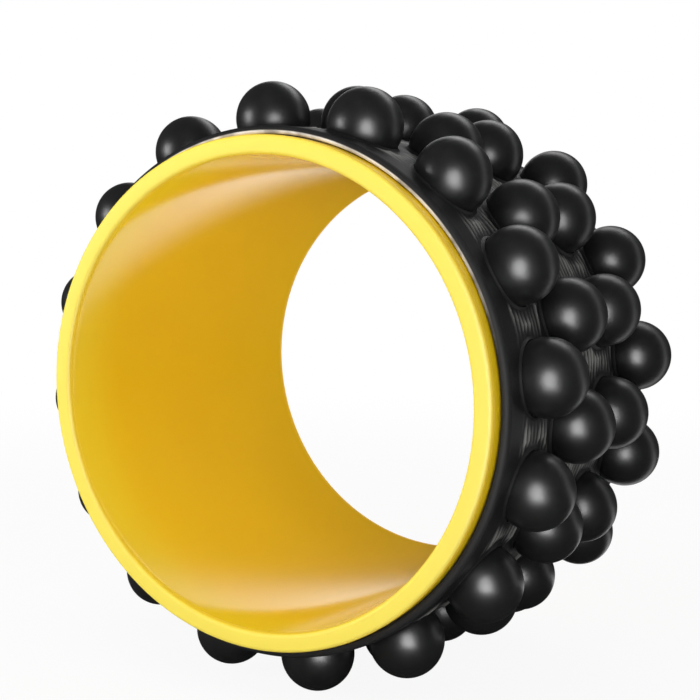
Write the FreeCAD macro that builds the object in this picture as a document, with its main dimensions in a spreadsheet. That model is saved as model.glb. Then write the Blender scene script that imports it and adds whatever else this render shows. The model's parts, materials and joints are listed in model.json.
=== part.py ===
import FreeCAD
import Part
import math
import os
import Sketcher

# Yoga wheel: a smooth plastic tube, a rubber sleeve bonded round it, and hollow rubber beads that stand
# on the sleeve in four rows. A bead is pushed through its socket from the inside, so that its flange is
# trapped between the sleeve and the tube.
# The origin is the wheel's centre, Y is the tube's axis and Z is up. The beads of the inner rows sit half
# a pitch round from those of the outer rows, and the wheel is turned so that it stands on four beads.

# Driving dimensions in millimetres, apart from two: row_gap_ratio is the gap between the two inner rows of
# beads over the gap from an inner row to an outer one, and beads_per_row is a count.
DIMENSIONS = (
    ("tube_diameter", 240),
    ("tube_wall", 9),
    ("tube_length", 200),
    ("tube_edge_radius", 2),
    ("film_thickness", 0.4),
    ("film_inset", 3),
    ("sleeve_thickness", 4),
    ("sleeve_setback", 7.5),
    ("lip_outer_radius", 2.2),
    ("lip_inner_radius", 1.2),
    ("rim_height", 1),
    ("rim_crest", 0.9),
    ("rim_foot", 2.2),
    ("bead_diameter", 36),
    ("bead_lift", 6),
    ("bead_wall", 3),
    ("bead_floor", 3),
    ("neck_diameter", 22),
    ("flange_ledge", 2.5),
    ("flange_thickness", 1.8),
    ("vent_diameter", 6),
    ("end_band", 30.5),
    ("row_gap_ratio", 1.35),
    ("beads_per_row", 16),
    ("fit_clearance", 0.05),
    ("bead_clearance", 0.3),
)


class Size:
    """A number together with the sheet expression that gives it."""

    def __init__(self, number, text):
        self.number = number
        self.text = text

    def __add__(self, other):
        return Size(self.number + other.number, f"({self.text} + {other.text})")

    def __sub__(self, other):
        return Size(self.number - other.number, f"({self.text} - {other.text})")

    def __mul__(self, factor):
        return Size(self.number * factor, f"({self.text} * {factor})")

    def __truediv__(self, divisor):
        return Size(self.number / divisor, f"({self.text} / {divisor})")

    def other_leg(self, leg):
        """The third side of a right triangle with this hypotenuse and one leg."""
        number = math.sqrt(self.number ** 2 - leg.number ** 2)
        return Size(number, f"sqrt({self.text}^2 - {leg.text}^2)")


doc = FreeCAD.newDocument("yoga_wheel")
sheet = doc.addObject("Spreadsheet::Sheet", "sizes")
size = {}
for row, (alias, number) in enumerate(DIMENSIONS, start=1):
    sheet.set(f"A{row}", alias)
    sheet.set(f"B{row}", str(number))
    sheet.setAlias(f"B{row}", alias)
    size[alias] = Size(number, f"sizes.{alias}")
doc.recompute()

# Radii of the nested layers, from the tube outwards.
tube_outer = size["tube_diameter"] / 2
tube_inner = tube_outer - size["tube_wall"]
film_inner = tube_outer + size["fit_clearance"]
film_outer = film_inner + size["film_thickness"]
sleeve_inner = film_outer + size["fit_clearance"]
sleeve_outer = sleeve_inner + size["sleeve_thickness"]
sleeve_length = size["tube_length"] - size["sleeve_setback"] * 2
film_length = sleeve_length - size["film_inset"] * 2

# Places of the rows along the wheel. The outer rows leave an end band of the sleeve free, and the inner rows
# divide the space between them.
ratio = size["row_gap_ratio"]
outer_row_offset = sleeve_length / 2 - size["end_band"]
inner_row_offset = Size(outer_row_offset.number * ratio.number / (ratio.number + 2),
                        f"({outer_row_offset.text} * {ratio.text} / ({ratio.text} + 2))")

# Radii of a bead, and heights along its own axis, measured from the tube's axis.
bead_radius = size["bead_diameter"] / 2
neck_radius = size["neck_diameter"] / 2
flange_radius = neck_radius + size["flange_ledge"]
bead_centre = sleeve_outer + size["bead_lift"]
bead_seat = sleeve_outer + size["fit_clearance"]
flange_top = sleeve_inner + size["flange_thickness"]
floor_top = sleeve_outer + size["bead_floor"]
rim_top = sleeve_outer + size["rim_height"]
rim_root = sleeve_outer - size["sleeve_thickness"] / 2
rim_inner = bead_radius.other_leg(size["bead_lift"] - size["rim_height"]) + size["bead_clearance"]

# Angle from one bead of a row to the next. A pair of rows lies as far in front of the wheel's middle as
# behind it, and a quarter of a pitch to one side of the top, so that the wheel stands on four beads.
pitch = Size(360 / size["beads_per_row"].number, "(360 / sizes.beads_per_row)")
ROWS = (
    ("outer", outer_row_offset, pitch / -4),
    ("inner", inner_row_offset, pitch / 4),
)

AXIS_OF_WHEEL = "H_Axis"
AXIS_OF_BEAD = "Axis0"
ORIGIN = (-1, 1)
VERTICAL_AXIS = -2
START, END, CENTRE = 1, 2, 3


def new_body(name):
    body = doc.addObject("PartDesign::Body", name)
    body.Label = name
    return body


def new_sketch(body, name, turn=None):
    """A sketch in the plane of the wheel's axis (across) and a radius (up), turned about the axis."""
    sketch = body.newObject("Sketcher::SketchObject", name)
    plane = next(item for item in body.Origin.OriginFeatures if item.Role == "YZ_Plane")
    sketch.AttachmentSupport = [(plane, "")]
    sketch.MapMode = "FlatFace"
    if turn:
        rotation = FreeCAD.Rotation(FreeCAD.Vector(1, 0, 0), turn.number)
        sketch.AttachmentOffset = FreeCAD.Placement(FreeCAD.Vector(), rotation)
        sketch.setExpression("AttachmentOffset.Rotation.Angle", turn.text)
    return sketch


def dimension(sketch, kind, place, value):
    """One constraint of a sketch, bound to the sheet."""
    index = sketch.addConstraint(Sketcher.Constraint(kind, *place, value.number))
    sketch.setExpression(f"Constraints[{index}]", value.text)


def line(sketch, first, last, construction=False):
    start = FreeCAD.Vector(first[0].number, first[1].number, 0)
    end = FreeCAD.Vector(last[0].number, last[1].number, 0)
    return sketch.addGeometry(Part.LineSegment(start, end), construction)


def join(sketch, pieces):
    """Close a run of lines and arcs, each end on the next one's start."""
    for piece, following in zip(pieces, pieces[1:] + pieces[:1]):
        sketch.addConstraint(Sketcher.Constraint("Coincident", piece, END, following, START))


def draw_polygon(sketch, corners):
    """A closed outline whose corners are given across and up."""
    sides = [line(sketch, corner, corners[(i + 1) % len(corners)]) for i, corner in enumerate(corners)]
    join(sketch, sides)
    for side, (across, up) in zip(sides, corners):
        dimension(sketch, "DistanceX", ORIGIN + (side, START), across)
        dimension(sketch, "DistanceY", ORIGIN + (side, START), up)


def draw_ring_section(sketch, length, inner, outer):
    """A rectangle centred along the wheel's axis, between two radii."""
    half = length / 2
    left = half * -1
    corners = ((left, inner), (half, inner), (half, outer), (left, outer))
    bottom, right, top, back = (line(sketch, corners[i], corners[(i + 1) % 4]) for i in range(4))
    join(sketch, [bottom, right, top, back])
    sketch.addConstraint(Sketcher.Constraint("Horizontal", top))
    for side in (right, back):
        sketch.addConstraint(Sketcher.Constraint("Vertical", side))
    sketch.addConstraint(Sketcher.Constraint("Symmetric", bottom, START, bottom, END, VERTICAL_AXIS))
    dimension(sketch, "DistanceX", (bottom, START, bottom, END), length)
    dimension(sketch, "DistanceY", ORIGIN + (bottom, START), inner)
    dimension(sketch, "DistanceY", ORIGIN + (top, START), outer)


def draw_bead_axis(sketch, offset, low, high):
    """The construction line that a bead, or its socket, is turned about."""
    axis = line(sketch, (offset, low), (offset, high), True)
    sketch.addConstraint(Sketcher.Constraint("Vertical", axis))
    dimension(sketch, "DistanceX", ORIGIN + (axis, START), offset)
    dimension(sketch, "DistanceY", ORIGIN + (axis, START), low)
    dimension(sketch, "DistanceY", ORIGIN + (axis, END), high)


def draw_arc(sketch, centre, radius, first_angle, last_angle):
    """An arc about a point given across and up, with free ends."""
    middle = FreeCAD.Vector(centre[0].number, centre[1].number, 0)
    circle = Part.Circle(middle, FreeCAD.Vector(0, 0, 1), radius.number)
    arc = sketch.addGeometry(Part.ArcOfCircle(circle, first_angle, last_angle), False)
    dimension(sketch, "DistanceX", ORIGIN + (arc, CENTRE), centre[0])
    dimension(sketch, "DistanceY", ORIGIN + (arc, CENTRE), centre[1])
    dimension(sketch, "Radius", (arc,), radius)
    return arc


def turn(body, kind, sketch, axis):
    """A full turn of a sketch, added or cut."""
    feature = body.newObject(f"PartDesign::{kind}", f"{sketch.Name}_turn")
    feature.Profile = sketch
    feature.ReferenceAxis = (sketch, [axis])
    feature.Angle = 360
    return feature


def round_edges(body, radius, chosen):
    """Round the circular edges of a body's tip whose radius is the chosen one."""
    doc.recompute()
    base = body.Tip
    names = [f"Edge{i}" for i, edge in enumerate(base.Shape.Edges, start=1)
             if isinstance(edge.Curve, Part.Circle) and math.isclose(edge.Curve.Radius, chosen.number)]
    fillet = body.newObject("PartDesign::Fillet", f"{base.Name}_rounding")
    fillet.Base = (base, names)
    fillet.setExpression("Radius", radius.text)


def add_at_every_bead(body, kind, what, draw):
    """Turn a drawing about a bead's axis, front and rear, and repeat it round each pair of rows."""
    wheel_axis = next(item for item in body.Origin.OriginFeatures if item.Role == "Y_Axis")
    for row, offset, row_turn in ROWS:
        features = []
        for side, place in (("rear", offset), ("front", offset * -1)):
            sketch = new_sketch(body, f"{row}_{side}_{what}", row_turn)
            draw(sketch, place)
            features.append(turn(body, kind, sketch, AXIS_OF_BEAD))
        pattern = body.newObject("PartDesign::PolarPattern", f"{row}_{what}_pattern")
        pattern.Originals = features
        pattern.Axis = (wheel_axis, [""])
        pattern.Angle = 360
        pattern.setExpression("Occurrences", "sizes.beads_per_row")
        body.Tip = pattern


def build_core_tube():
    body = new_body("core_tube")
    section = new_sketch(body, "tube_section")
    draw_ring_section(section, size["tube_length"], tube_inner, tube_outer)
    turn(body, "Revolution", section, AXIS_OF_WHEEL)
    round_edges(body, size["tube_edge_radius"], tube_outer)
    round_edges(body, size["tube_edge_radius"], tube_inner)
    return body


def build_bond_film():
    body = new_body("bond_film")
    section = new_sketch(body, "film_section")
    draw_ring_section(section, film_length, film_inner, film_outer)
    turn(body, "Revolution", section, AXIS_OF_WHEEL)
    return body


def draw_rim(sketch, offset):
    """The low rim round a bead, with a sloping outer side. Its crest is trimmed later."""
    inside = offset + rim_inner
    crest = inside + size["rim_crest"]
    foot = inside + size["rim_foot"]
    draw_bead_axis(sketch, offset, rim_root, rim_top)
    draw_polygon(sketch, ((inside, rim_root), (foot, rim_root), (foot, sleeve_outer),
                          (crest, rim_top), (inside, rim_top)))


def draw_socket(sketch, offset):
    """The stepped hole for a bead's flange and neck, from inside the sleeve to above its rim."""
    flange_side = offset + flange_radius + size["fit_clearance"]
    neck_side = offset + neck_radius + size["fit_clearance"]
    shelf = flange_top + size["fit_clearance"]
    inside = tube_inner
    draw_bead_axis(sketch, offset, inside, rim_top)
    draw_polygon(sketch, ((offset, inside), (flange_side, inside), (flange_side, shelf),
                          (neck_side, shelf), (neck_side, rim_top), (offset, rim_top)))


def build_base_sleeve():
    body = new_body("base_sleeve")
    section = new_sketch(body, "sleeve_section")
    draw_ring_section(section, sleeve_length, sleeve_inner, sleeve_outer)
    turn(body, "Revolution", section, AXIS_OF_WHEEL)
    round_edges(body, size["lip_outer_radius"], sleeve_outer)
    round_edges(body, size["lip_inner_radius"], sleeve_inner)

    add_at_every_bead(body, "Revolution", "rim", draw_rim)
    trim = new_sketch(body, "rim_crest_trim")
    draw_ring_section(trim, sleeve_length, rim_top, bead_centre)
    turn(body, "Groove", trim, AXIS_OF_WHEEL)
    add_at_every_bead(body, "Groove", "socket", draw_socket)
    return body


def draw_ball(sketch, offset):
    """Half a disc against the bead's axis."""
    draw_bead_axis(sketch, offset, bead_centre - bead_radius, bead_centre + bead_radius)
    arc = draw_arc(sketch, (offset, bead_centre), bead_radius, -math.pi / 2, math.pi / 2)
    chord = line(sketch, (offset, bead_centre + bead_radius), (offset, bead_centre - bead_radius))
    join(sketch, [arc, chord])
    for end in (START, END):
        dimension(sketch, "DistanceX", ORIGIN + (chord, end), offset)


def draw_layers_below(sketch, offset, radius):
    """The room that the layers under a bead take up: a full disc about the wheel's axis."""
    nothing = Size(0, "0")
    reach = offset + size["bead_diameter"]
    draw_polygon(sketch, ((nothing, nothing), (reach, nothing), (reach, radius), (nothing, radius)))


def draw_stud(sketch, offset):
    """Neck and flange, from below the seat on the film up into the ball's floor."""
    flange_side = offset + flange_radius
    neck_side = offset + neck_radius
    draw_bead_axis(sketch, offset, tube_inner, floor_top)
    draw_polygon(sketch, ((offset, tube_inner), (flange_side, tube_inner), (flange_side, flange_top),
                          (neck_side, flange_top), (neck_side, floor_top), (offset, floor_top)))


def draw_hollow(sketch, offset):
    """The moulding core: the ball's inside above its floor, and the vent down through the stud."""
    hollow_radius = bead_radius - size["bead_wall"]
    vent_side = offset + size["vent_diameter"] / 2
    floor_side = offset + hollow_radius.other_leg(bead_centre - floor_top)
    crown = bead_centre + hollow_radius
    first_angle = -math.asin((bead_centre - floor_top).number / hollow_radius.number)
    draw_bead_axis(sketch, offset, tube_inner, crown)
    vent_mouth = line(sketch, (offset, tube_inner), (vent_side, tube_inner))
    vent = line(sketch, (vent_side, tube_inner), (vent_side, floor_top))
    floor = line(sketch, (vent_side, floor_top), (floor_side, floor_top))
    arc = draw_arc(sketch, (offset, bead_centre), hollow_radius, first_angle, math.pi / 2)
    spine = line(sketch, (offset, crown), (offset, tube_inner))
    join(sketch, [vent_mouth, vent, floor, arc, spine])
    for side, across in ((vent_mouth, offset), (vent, vent_side), (floor, vent_side), (spine, offset)):
        dimension(sketch, "DistanceX", ORIGIN + (side, START), across)
    for side, up in ((vent_mouth, tube_inner), (vent, tube_inner), (floor, floor_top), (arc, floor_top)):
        dimension(sketch, "DistanceY", ORIGIN + (side, START), up)


def build_bead_pair(name, offset, angle):
    """Two hollow beads at one place round the wheel, as far in front of its middle as behind it."""
    body = new_body(name)
    ball = new_sketch(body, f"{name}_ball")
    draw_ball(ball, offset)
    turn(body, "Revolution", ball, AXIS_OF_BEAD)

    sleeve_seat = new_sketch(body, f"{name}_sleeve_seat")
    draw_layers_below(sleeve_seat, offset, bead_seat)
    turn(body, "Groove", sleeve_seat, AXIS_OF_WHEEL)

    stud = new_sketch(body, f"{name}_stud")
    draw_stud(stud, offset)
    turn(body, "Revolution", stud, AXIS_OF_BEAD)

    film_seat = new_sketch(body, f"{name}_film_seat")
    draw_layers_below(film_seat, offset, sleeve_inner)
    turn(body, "Groove", film_seat, AXIS_OF_WHEEL)

    hollow = new_sketch(body, f"{name}_hollow")
    draw_hollow(hollow, offset)
    turn(body, "Groove", hollow, AXIS_OF_BEAD)
    doc.recompute()

    mirror = body.newObject("PartDesign::Mirrored", f"{name}_mirror")
    mirror.TransformMode = "Whole shape"
    middle = next(item for item in body.Origin.OriginFeatures if item.Role == "XZ_Plane")
    mirror.MirrorPlane = (middle, [""])
    body.Tip = mirror
    round_the_wheel = FreeCAD.Rotation(FreeCAD.Vector(0, 1, 0), angle.number)
    body.Placement = FreeCAD.Placement(FreeCAD.Vector(), round_the_wheel)
    body.setExpression("Placement.Rotation.Angle", angle.text)
    return body


def build_all():
    bodies = [build_core_tube(), build_bond_film(), build_base_sleeve()]
    for row, offset, row_turn in ROWS:
        for place in range(size["beads_per_row"].number):
            angle = row_turn + pitch * place
            bodies.append(build_bead_pair(f"{row}_bead_pair_{place + 1:02d}", offset, angle))
    return bodies


parts = build_all()
doc.recompute()
for item in doc.Objects:
    if {"Invalid", "Error"} & set(item.State):
        raise ValueError(f"{item.Label} did not build: {item.State}")
    if item.isDerivedFrom("PartDesign::Groove") and item.Shape.Volume >= item.BaseFeature.Shape.Volume:
        raise ValueError(f"{item.Label} cuts nothing")
for part in parts:
    if part.Shape.isNull() or not part.Shape.isValid():
        raise ValueError(f"{part.Label} is not a valid solid")

os.makedirs("parts", exist_ok=True)
for part in parts:
    part.Shape.exportStep(f"parts/{part.Label}.step")
    print(part.Label, len(part.Shape.Solids), round(part.Shape.Volume))
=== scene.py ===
import json
import math

import bmesh
import bpy
from mathutils import Matrix, Vector, noise


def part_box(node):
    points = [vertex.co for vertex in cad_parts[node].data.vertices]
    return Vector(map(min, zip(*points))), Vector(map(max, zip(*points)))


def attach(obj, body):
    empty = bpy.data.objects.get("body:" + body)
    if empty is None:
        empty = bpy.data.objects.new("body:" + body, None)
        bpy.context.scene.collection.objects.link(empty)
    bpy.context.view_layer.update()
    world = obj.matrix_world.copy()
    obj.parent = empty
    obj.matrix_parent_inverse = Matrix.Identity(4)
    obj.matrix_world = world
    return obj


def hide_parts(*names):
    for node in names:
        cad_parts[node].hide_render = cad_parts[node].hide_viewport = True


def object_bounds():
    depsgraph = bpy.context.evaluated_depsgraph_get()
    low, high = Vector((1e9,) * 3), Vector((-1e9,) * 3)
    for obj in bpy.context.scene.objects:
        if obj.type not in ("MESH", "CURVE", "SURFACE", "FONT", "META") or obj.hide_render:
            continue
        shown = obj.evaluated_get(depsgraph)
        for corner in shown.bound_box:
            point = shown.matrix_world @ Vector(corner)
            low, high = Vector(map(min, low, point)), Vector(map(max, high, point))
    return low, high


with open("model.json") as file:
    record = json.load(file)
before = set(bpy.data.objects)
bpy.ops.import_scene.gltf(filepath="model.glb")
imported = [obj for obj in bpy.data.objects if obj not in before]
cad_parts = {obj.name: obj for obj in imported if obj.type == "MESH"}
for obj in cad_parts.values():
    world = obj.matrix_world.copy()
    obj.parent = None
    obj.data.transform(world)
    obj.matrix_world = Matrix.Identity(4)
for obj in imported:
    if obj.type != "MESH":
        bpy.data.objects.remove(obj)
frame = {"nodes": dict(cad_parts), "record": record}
cad_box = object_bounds()


# Core tube: the ring that carries the load, a length of glossy yellow plastic tube, open right through.
# Its walls carry painted shade, a deeper amber. Its ends are turned and satin, with painted light, a
# paler lemon, and all edges are rounded.
tube_mount = next(mount for mount in frame["record"]["mounts"] if mount["name"] == "tube_bore")
bore_radius = tube_mount["dims"]["r_mm"] / 1000
tube_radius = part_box("core_tube")[1].x
tube_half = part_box("core_tube")[1].y
tube_edge = 0.002
tube_edge_segments = 6
tube_steps = 288
tube_loops = 48
square_edge = math.radians(80)
crease_angle = math.radians(50)
same_reach = 0.0005
# Painted shade: the walls' deeper amber and yellow. Painted light: the ends' paler lemon.
shaded_wall_amber = (0.79, 0.505, 0.008, 1)
shaded_wall_yellow = (0.85, 0.575, 0.010, 1)
# Painted light: the inside's paler yellow near the front end.
front_lit_pale = (0.82, 0.66, 0.030, 1)
lit_end_lemon = (0.84, 0.68, 0.06, 1)


def spun_wall(inner, outer, half, steps):
    """A plain tube wall round the Y axis: its section is four corners, spun all the way round."""
    bm = bmesh.new()
    section = [(-half, inner), (half, inner), (half, outer), (-half, outer)]
    corners = [bm.verts.new((0, y, radius)) for y, radius in section]
    for here, there in zip(corners, corners[1:] + corners[:1]):
        bm.edges.new((here, there))
    bmesh.ops.spin(bm, geom=bm.verts[:] + bm.edges[:], cent=(0, 0, 0), axis=(0, 1, 0),
                   angle=2 * math.pi, steps=steps, use_merge=True)
    bmesh.ops.recalc_face_normals(bm, faces=bm.faces[:])
    return bm


def reach(vert):
    """How far a vertex stands from the wheel's axis."""
    return math.hypot(vert.co.x, vert.co.z)


def round_rims(bm, radius, rounding, segments):
    """Rounds the two square edges that run round a wall at one radius."""
    edges = [edge for edge in bm.edges
             if edge.calc_face_angle() > square_edge and abs(reach(edge.verts[0]) - radius) < same_reach]
    bmesh.ops.bevel(bm, geom=edges, offset=rounding, offset_type="OFFSET", affect="EDGES",
                    segments=segments, profile=0.5, material=-1)


def add_loops(bm, radius, cuts):
    """Divides a wall's long straight edges at one radius, so that it gets loops along its length."""
    edges = [edge for edge in bm.edges
             if edge.calc_length() > radius and abs(reach(edge.verts[0]) - radius) < same_reach]
    bmesh.ops.subdivide_edges(bm, edges=edges, cuts=cuts, use_grid_fill=True)


def make_piece(name, bm, material, slot, *nodes):
    """Makes a finished bmesh a smooth piece of the wheel that stands for these nodes."""
    bmesh.ops.recalc_face_normals(bm, faces=bm.faces[:])
    mesh = bpy.data.meshes.new(name)
    bm.to_mesh(mesh)
    bm.free()
    mesh.shade_smooth()
    mesh.set_sharp_from_angle(angle=crease_angle)
    mesh.materials.append(material)
    piece = bpy.data.objects.new(name, mesh)
    bpy.context.scene.collection.objects.link(piece)
    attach(piece, "root")
    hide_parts(*nodes)


def feed(node, sockets):
    """Gives sockets of a node their values or their links."""
    for name, value in sockets.items():
        if isinstance(value, Shade):
            node.id_data.links.new(value.socket, node.inputs[name])
        else:
            node.inputs[name].default_value = value


class Shade:
    """A shader socket. Arithmetic with it adds the Math nodes that work the value out."""

    def __init__(self, socket):
        self.socket = socket

    def add(self, kind, settings, sockets, output=0):
        """Adds any node to the same tree: its settings first, then its sockets. Gives one output."""
        node = self.socket.id_data.nodes.new("ShaderNode" + kind)
        for name, value in settings.items():
            setattr(node, name, value)
        feed(node, sockets)
        return Shade(node.outputs[output])

    def math(self, operation, first, second):
        """Works two values out with one Math node."""
        return self.add("Math", {"operation": operation}, {0: first, 1: second})

    def __add__(self, other):
        return self.math("ADD", self, other)

    __radd__ = __add__

    def __sub__(self, other):
        return self.math("SUBTRACT", self, other)

    def __rsub__(self, other):
        return self.math("SUBTRACT", other, self)

    def __mul__(self, other):
        return self.math("MULTIPLY", self, other)

    __rmul__ = __mul__

    def stretched(self, along):
        """A place scaled by its own amount along each axis."""
        return self.add("VectorMath", {"operation": "MULTIPLY"}, {0: self, 1: along})

    def grain(self, scale, detail=2):
        """Soft noise about 0.5 at this place, with features about one over scale in size."""
        return self.add("TexNoise", {}, {"Vector": self, "Scale": scale, "Detail": detail})

    def between(self, first, second):
        """Mixes two colours, with this value as the share of the second."""
        return self.add("Mix", {"data_type": "RGBA"}, {0: self, 6: first, 7: second}, output=2)

    def relief(self, strength, depth):
        """A bumped normal with this value as its height."""
        return self.add("Bump", {}, {"Height": self, "Strength": strength, "Distance": depth})

    def from_axis(self):
        """How far this place is from the wheel's axis."""
        level = self.stretched((1, 0, 1))
        return self.add("VectorMath", {"operation": "LENGTH"}, {0: level}, output="Value")

    def along(self, axis):
        """One coordinate of this place."""
        return self.add("SeparateXYZ", {}, {0: self}, output=axis)

    def off_middle(self):
        """How far this place is from the wheel's middle, along its axis."""
        return self.math("ABSOLUTE", self.along("Y"), 0)

    def rising(self, low, high):
        """Goes smoothly from 0 where this value is low to 1 where it is high."""
        sockets = {"Value": self, "From Min": low, "From Max": high}
        return self.add("MapRange", {"interpolation_type": "SMOOTHSTEP"}, sockets)


def new_finish(name):
    """A new material: itself, its Principled shader and the place on the piece's surface."""
    material = bpy.data.materials.new(name)
    material.use_nodes = True
    nodes = material.node_tree.nodes
    place = Shade(nodes.new("ShaderNodeTexCoord").outputs["Object"])
    return material, nodes["Principled BSDF"], place


# The plastic has slow clouds of tone and a faint orange peel, and painted light makes its inside paler
# near the front end.
# Its rounded edges are satin, and its turned ends have fine rings.
tube_plastic, shader, place = new_finish("glossy_yellow_plastic")
clouds = place.grain(11)
peel = place.grain(420, detail=1)
turned = place.off_middle().rising(tube_half - 0.7 * tube_edge, tube_half - 0.2 * tube_edge)
rounded = place.off_middle().rising(tube_half - 2.0 * tube_edge, tube_half - 1.0 * tube_edge)
inside = 1 - place.from_axis().rising(bore_radius + tube_edge, tube_radius - tube_edge)
front = 1 - place.along("Y").rising(-0.95 * tube_half, -0.60 * tube_half)
# Painted light: the inside is paler near the front end.
painted_front_light = 0.55 * inside * front
wall = painted_front_light.between(clouds.between(shaded_wall_amber, shaded_wall_yellow), front_lit_pale)
ring_sockets = {"W": place.from_axis(), "Scale": 2600, "Detail": 1}
rings = place.add("TexNoise", {"noise_dimensions": "1D"}, ring_sockets)
feed(shader, {
    # Painted light on the turned ends, painted shade on the walls.
    "Base Color": turned.between(wall, lit_end_lemon),
    "Roughness": 0.10 + 0.05 * clouds + 0.42 * rounded + 0.08 * turned * rings,
    "IOR": 1.58,
    "Normal": (peel + 0.8 * turned * rings).relief(strength=0.03, depth=0.0004),
})

bm = spun_wall(bore_radius, tube_radius, tube_half, tube_steps)
round_rims(bm, bore_radius, tube_edge, tube_edge_segments)
round_rims(bm, tube_radius, tube_edge, tube_edge_segments)
add_loops(bm, bore_radius, tube_loops)
add_loops(bm, tube_radius, tube_loops)
make_piece("tube_wall", bm, tube_plastic, "tube_plastic", "core_tube")


# Bond film: the thin layer of contact adhesive between the tube and the sleeve, brushed on.
# Only its dark edge can be seen, deep in the gap under the sleeve's lip.
film_black = (0.012, 0.011, 0.010, 1)
film_brown = (0.030, 0.027, 0.022, 1)
brush_marks = (60, 300, 60)

film_adhesive, shader, place = new_finish("brushed_contact_adhesive")
brushed = place.stretched(brush_marks).grain(1, detail=4)
feed(shader, {
    "Base Color": brushed.between(film_black, film_brown),
    "Roughness": 0.45 + 0.3 * brushed,
    "Normal": brushed.relief(strength=0.3, depth=0.0004),
})
frame["nodes"]["bond_film"].material_slots[0].material = film_adhesive


# Base sleeve: a seamless black rubber sleeve, moulded with a bullnose lip at each end, a low rim
# round every bead and fine ribs round the wheel between the beads. It is bonded on the tube.
film_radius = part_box("bond_film")[1].x
sleeve_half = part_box("base_sleeve")[1].y
fit_gap = 0.00005
sleeve_thickness = 0.004
sleeve_inner = film_radius + fit_gap
sleeve_outer = sleeve_inner + sleeve_thickness
lip_outer = 0.0022
lip_outer_segments = 6
lip_inner = 0.0012
lip_inner_segments = 3
sleeve_steps = 216
sleeve_loops = 290

lip_band = 0.003
lip_fade = 0.001
smooth_band = 0.015
rib_spacing = 0.0040
rib_height = 0.0008
rib_fade = 0.003
rib_slow_waver = 40
rib_quick_waver = 130
rib_patches = 90
rib_patch_shift = Vector((3, 7, 1))

bead_radius = 0.018
rim_gap = 0.0004
rim_height = 0.0011
rim_foot = 0.0028
rim_steps = 36
rim_points = 6
rim_sink = 0.0005
rim_crest_angle = math.radians(40)
rim_crest_segments = 3
beads_per_row = sum(name.startswith("outer_bead_pair") for name in frame["nodes"])
pitch = 2 * math.pi / beads_per_row
bead_centre = (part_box("outer_bead_pair_01")[1].z - bead_radius) / math.cos(pitch / 4)
seat_radius = math.sqrt(bead_radius ** 2 - (bead_centre - sleeve_outer) ** 2)
row_turns = {"outer": -pitch / 4, "inner": pitch / 4}
row_offsets = {row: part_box(f"{row}_bead_pair_01")[1].y - bead_radius for row in row_turns}

rubber_black = (0.005, 0.005, 0.006, 1)
rubber_dusty = (0.011, 0.011, 0.011, 1)
# The grey of the rib crests is scuffing and painted highlight.
scuff_sheen_grey = (0.20, 0.20, 0.19, 1)
# Painted highlight: a pale streaky line along the top of the lips' inner edge.
lip_sheen_grey = (0.36, 0.33, 0.31, 1)
lip_sheen_pale = (0.90, 0.87, 0.84, 1)
lip_sheen_width = 0.0014
lip_sheen_fade = 0.0006
lip_sheen_low = 0.02
lip_sheen_high = 0.10


def bead_matrix(row, index, side):
    """Where a bead made at the top of the wheel goes: round to its place, and to its side."""
    turn = Matrix.Rotation(row_turns[row] + pitch * index, 4, "Y")
    return Matrix.Translation((0, side * row_offsets[row], 0)) @ turn


def ramp(value, low, high):
    """Rises smoothly from 0 at low to 1 at high."""
    share = min(1, max(0, (value - low) / (high - low)))
    return share * share * (3 - 2 * share)


def nearest_bead(angle, y):
    """How far a spot on the sleeve lies from the nearest bead's axis."""
    nearest = sleeve_half
    for row, turn in row_turns.items():
        steps = (angle - turn) / pitch
        round_wheel = (steps - round(steps)) * pitch * sleeve_outer
        along = abs(y) - row_offsets[row]
        nearest = min(nearest, math.hypot(round_wheel, along))
    return nearest


def rib_share(vert):
    """How far up a rib a spot on the sleeve is: wavy, patchy ridges that die out at the rims and lips."""
    angle = math.atan2(vert.co.x, vert.co.z)
    y = vert.co.y
    rim_edge = seat_radius + rim_gap + rim_foot
    calm = ramp(nearest_bead(angle, y), rim_edge, rim_edge + rib_fade)
    calm *= ramp(sleeve_half - abs(y), smooth_band, smooth_band + rib_fade)
    waver = noise.noise(vert.co * rib_slow_waver) + 0.6 * noise.noise(vert.co * rib_quick_waver)
    ridge = math.cos(math.pi * (y / rib_spacing + 0.5 * waver)) ** 4
    patch = max(0, 0.8 + 1.3 * noise.noise(vert.co * rib_patches + rib_patch_shift))
    return calm * ridge * patch


# The rubber is matt, with a fine leathery grain and a little dust, and grey on the rib crests, which is
# scuffing and partly painted highlight.
# Its lips are smoother and duller. At the top, a pale streaky line along their inner edge is a painted
# highlight.
sleeve_rubber, shader, place = new_finish("matt_black_rubber")
dust = place.grain(38, detail=3)
leather = place.grain(900, detail=3)
scuff_sheen_share = place.add("Attribute", {"attribute_name": "scuff_sheen"}, {}, output="Fac")
lipped = place.off_middle().rising(sleeve_half - lip_band - lip_fade, sleeve_half - lip_band)
lip_sheen_edge = sleeve_inner + lip_sheen_width
inmost = 1 - place.from_axis().rising(lip_sheen_edge, lip_sheen_edge + lip_sheen_fade)
at_top = place.along("Z").rising(lip_sheen_low, lip_sheen_high)
# Painted highlight along the inner edge of the lips, only at the top.
painted_lip_highlight = lipped * inmost * at_top * (0.6 + 0.8 * dust)
streaks = place.grain(75).rising(0.35, 0.65)
# The pale streaky line on the top lips is a painted highlight.
adhesive = streaks.between(lip_sheen_grey, lip_sheen_pale)
rubber = dust.between(rubber_black, rubber_dusty)
feed(shader, {
    "Base Color": painted_lip_highlight.between(scuff_sheen_share.between(rubber, scuff_sheen_grey), adhesive),
    "Roughness": 0.42 + 0.1 * dust + 0.06 * leather + 0.2 * lipped,
    "Specular IOR Level": 0.25,
    "Normal": (leather * (1 - 0.8 * lipped)).relief(strength=0.25, depth=0.0003),
})

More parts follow.
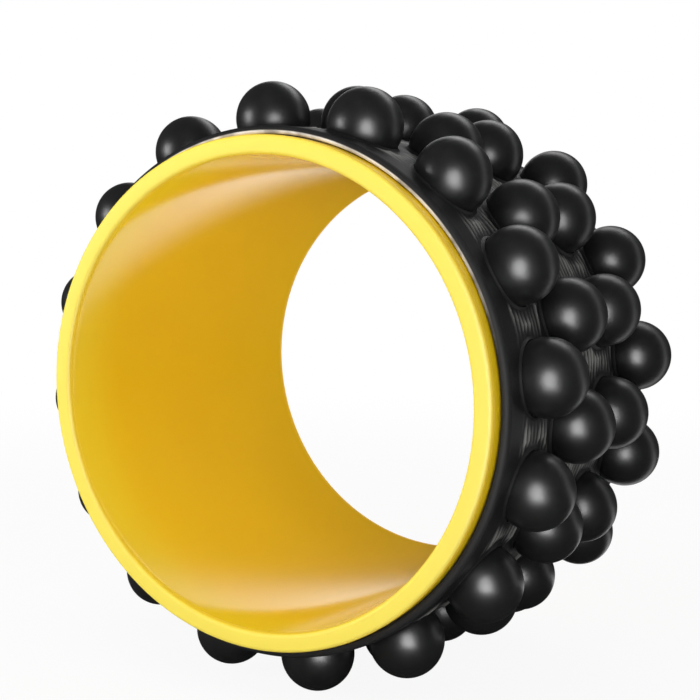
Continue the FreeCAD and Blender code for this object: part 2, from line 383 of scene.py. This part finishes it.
bm = spun_wall(sleeve_inner, sleeve_outer, sleeve_half, sleeve_steps)
round_rims(bm, sleeve_inner, lip_inner, lip_inner_segments)
round_rims(bm, sleeve_outer, lip_outer, lip_outer_segments)
add_loops(bm, sleeve_outer, sleeve_loops)
# The rib crests are greyed as scuffing and painted highlight.
scuff_sheen = bm.verts.layers.float.new("scuff_sheen")
for vert in bm.verts:
    if reach(vert) > sleeve_outer - fit_gap:
        vert[scuff_sheen] = rib_share(vert)
        raised = 1 + rib_height * vert[scuff_sheen] / reach(vert)
        vert.co.x *= raised
        vert.co.z *= raised

# One rim is turned round the bead's axis, falls away softly, is bent to the sleeve and set at each bead.
rim = bmesh.new()
rim_start = seat_radius + rim_gap
rim_section = [(rim_start, -rim_sink)]
for point in range(rim_points + 1):
    share = point / rim_points
    fall = (1 - share) ** 2
    rim_section.append((rim_start + rim_foot * share, (rim_height + rim_sink) * fall - rim_sink))
corners = [rim.verts.new((radius, 0, height)) for radius, height in rim_section]
for here, there in zip(corners, corners[1:] + corners[:1]):
    rim.edges.new((here, there))
bmesh.ops.spin(rim, geom=rim.verts[:] + rim.edges[:], cent=(0, 0, 0), axis=(0, 0, 1),
               angle=2 * math.pi, steps=rim_steps, use_merge=True)
crests = [edge for edge in rim.edges if all(vert.co.z > 0.9 * rim_height for vert in edge.verts)
          and edge.calc_face_angle() > rim_crest_angle]
bmesh.ops.bevel(rim, geom=crests, offset=rim_gap / 2, offset_type="OFFSET", affect="EDGES",
                segments=rim_crest_segments, profile=0.5, material=-1)
for vert in rim.verts:
    vert.co.z += math.sqrt(sleeve_outer ** 2 - vert.co.x ** 2)
rim_mesh = bpy.data.meshes.new("bead_rim")
rim.to_mesh(rim_mesh)
rim.free()
for row in row_turns:
    for index in range(beads_per_row):
        for side in (-1, 1):
            known = len(bm.verts)
            bm.from_mesh(rim_mesh)
            bm.verts.ensure_lookup_table()
            bmesh.ops.transform(bm, matrix=bead_matrix(row, index, side), verts=bm.verts[known:])
make_piece("ribbed_sleeve", bm, sleeve_rubber, "sleeve_rubber", "base_sleeve")


# Beads: hollow satin black rubber balls, moulded with a neck and a flange. Each is pushed through the
# sleeve from inside, so that it stands on its seat, undercut, with the flange trapped on the tube.
ball_segments = 64
ball_rings = 40
seat_gap = 0.00005
bead_black = (0.007, 0.007, 0.008, 1)
bead_bloomed = (0.012, 0.012, 0.012, 1)

bead_rubber, shader, place = new_finish("satin_black_rubber")
batch = place.grain(17, detail=1)
bloom = place.grain(150, detail=3)
skin = place.grain(2400)
feed(shader, {
    "Base Color": bloom.between(bead_black, bead_bloomed),
    "Roughness": 0.30 + 0.05 * batch + 0.05 * bloom,
    "Normal": skin.relief(strength=0.08, depth=0.0002),
})

for row in row_turns:
    for index in range(beads_per_row):
        bm = bmesh.new()
        for side in (-1, 1):
            ball = bmesh.ops.create_uvsphere(bm, u_segments=ball_segments, v_segments=ball_rings,
                                             radius=bead_radius)["verts"]
            bmesh.ops.translate(bm, vec=(0, 0, bead_centre), verts=ball)
            for vert in ball:
                pressed = max(1, (sleeve_outer + seat_gap) / reach(vert))
                vert.co.x *= pressed
                vert.co.z *= pressed
            bmesh.ops.transform(bm, matrix=bead_matrix(row, index, side), verts=ball)
        number = f"{index + 1:02d}"
        make_piece(f"{row}_beads_{number}", bm, bead_rubber, "bead_rubber", f"{row}_bead_pair_{number}")


# Studio: a white paper floor and backdrop in a dim room, with white panels in a ring on the far side that
# show only in gloss. A softbox stands at the left, a strip hangs high behind, two kickers by the camera
# light the beads, and fills lift the rest. The camera stands where the photograph was taken.
floor_level = cad_box[0].z
floor_radius = 12
floor_steps = 96
floor_pale = (0.8, 0.8, 0.8, 1)
floor_dark = (0.05, 0.05, 0.05, 1)
paper_white = (1, 1, 1, 1)
shadow_white = 0.92
shadow_near = 0.3
shadow_far = 1.2
sky_light = 0.36
sky_gloss_loss = 0.85
panel_middle = Vector((0.139, 0.990, 0.035))
sky_panel_angles = (37.5, 41, 49, 52)
sky_panel_light = 1.3
floor_panel_angles = (34, 42, 48, 52)
floor_panel_white = (1.5, 1.5, 1.5, 1)
low_fill_spread = math.radians(50)
camera_place = Vector((0.33936, -0.60517, 0.07686))
camera_turn = [math.radians(angle) for angle in (84.815, -0.238, 29.672)]
camera_lens = 68.15
camera_sensor = 36

scene = bpy.context.scene
scene.view_settings.view_transform = "Standard"


def seen_white(place, ring_angles):
    """How white a place in the studio looks: all white to the camera, and a ring of panels in gloss.

    The ring's angles from panel_middle say where it starts, is full, is last full and ends."""
    camera_ray = place.add("LightPath", {}, {}, output="Is Camera Ray")
    rays = camera_ray.socket.node.outputs
    gloss = place.math("MAXIMUM", Shade(rays["Is Glossy Ray"]), Shade(rays["Is Transmission Ray"]))
    towards = place.add("VectorMath", {"operation": "NORMALIZE"}, {0: place})
    directions = {0: towards, 1: panel_middle}
    facing = place.add("VectorMath", {"operation": "DOT_PRODUCT"}, directions, output="Value")
    start, full, last_full, end = [math.cos(math.radians(angle)) for angle in ring_angles]
    panels = facing.rising(end, last_full) * (1 - facing.rising(full, start))
    return place.math("MAXIMUM", camera_ray, gloss * panels)


world = bpy.data.worlds.new("white_studio")
world.use_nodes = True
scene.world = world
sky = Shade(world.node_tree.nodes.new("ShaderNodeTexCoord").outputs["Generated"])
gloss = sky.add("LightPath", {}, {}, output="Is Glossy Ray")
seen = seen_white(sky, sky_panel_angles)
dim = sky_light * (1 - sky_gloss_loss * gloss)
bright = 1 + (sky_panel_light - 1) * gloss
feed(world.node_tree.nodes["Background"], {
    "Color": paper_white,
    "Strength": seen * bright + (1 - seen) * dim,
})

# The floor is white to the camera, a little less so near the wheel, where its shadow shows.
floor_white, shader, place = new_finish("white_floor")
gloss = place.add("LightPath", {}, {}, output="Is Glossy Ray")
feed(shader, {"Base Color": gloss.between(floor_pale, floor_dark), "Roughness": 0.9})
glow = place.add("Emission", {}, {"Color": gloss.between(paper_white, floor_panel_white), "Strength": 1})
distance = place.add("VectorMath", {"operation": "LENGTH"}, {0: place}, output="Value")
clear = shadow_white + (1 - shadow_white) * distance.rising(shadow_near, shadow_far)
seen = seen_white(place, floor_panel_angles) * clear
surface = place.add("MixShader", {}, {0: seen, 1: Shade(shader.outputs["BSDF"]), 2: glow})
feed(floor_white.node_tree.nodes["Material Output"], {"Surface": surface})

bm = bmesh.new()
bmesh.ops.create_circle(bm, cap_ends=True, segments=floor_steps, radius=floor_radius)
bmesh.ops.translate(bm, vec=(0, 0, floor_level), verts=bm.verts[:])
floor_mesh = bpy.data.meshes.new("floor")
bm.to_mesh(floor_mesh)
bm.free()
floor_mesh.materials.append(floor_white)
floor = bpy.data.objects.new("floor", floor_mesh)
scene.collection.objects.link(floor)


def softbox(name, place, width, height, brightness):
    """A soft light that faces the wheel, so many times brighter than white paper."""
    lamp = bpy.data.lights.new(name, "AREA")
    lamp.shape = "RECTANGLE"
    lamp.size = width
    lamp.size_y = height
    lamp.energy = brightness * math.pi * width * height
    box = bpy.data.objects.new(name, lamp)
    box.location = place
    box.rotation_euler = (-Vector(place)).to_track_quat("-Z", "Y").to_euler()
    box.visible_camera = False
    scene.collection.objects.link(box)
    return box


softbox("left_softbox", (-0.75, -0.70, 0.20), width=0.36, height=0.36, brightness=11.5)
softbox("high_strip", (0.05, 0.62, 0.78), width=0.70, height=0.22, brightness=2.4)

# The kickers are seen only in gloss, and the fills light everything but aren't seen in it.
kickers = (
    softbox("bead_kicker", (0.33, -0.53, 0.01), width=0.34, height=0.46, brightness=10),
    softbox("floor_kicker", (0.30, -0.36, -0.13), width=0.24, height=0.14, brightness=7),
)
for kicker in kickers:
    kicker.data.shape = "ELLIPSE"
    kicker.visible_diffuse = False
fills = (
    softbox("camera_fill", (0.53, -0.83, -0.02), width=0.50, height=0.50, brightness=3.0),
    softbox("front_fill", (0.85, -0.60, -0.02), width=0.50, height=0.24, brightness=2.4),
    softbox("high_fill", (0.05, -0.42, 0.62), width=0.50, height=0.50, brightness=2.8),
    softbox("rear_fill", (0.50, 0.75, 0.50), width=0.50, height=0.50, brightness=0.5),
    softbox("low_fill", (0.02, 0.60, -0.06), width=0.30, height=0.14, brightness=2.5),
)
for fill in fills:
    fill.visible_glossy = False
fills[-1].data.spread = low_fill_spread

camera = bpy.data.cameras.new("camera")
camera.lens = camera_lens
camera.sensor_width = camera_sensor
camera_stand = bpy.data.objects.new("camera", camera)
camera_stand.location = camera_place
camera_stand.rotation_euler = camera_turn
scene.collection.objects.link(camera_stand)
scene.camera = camera_stand
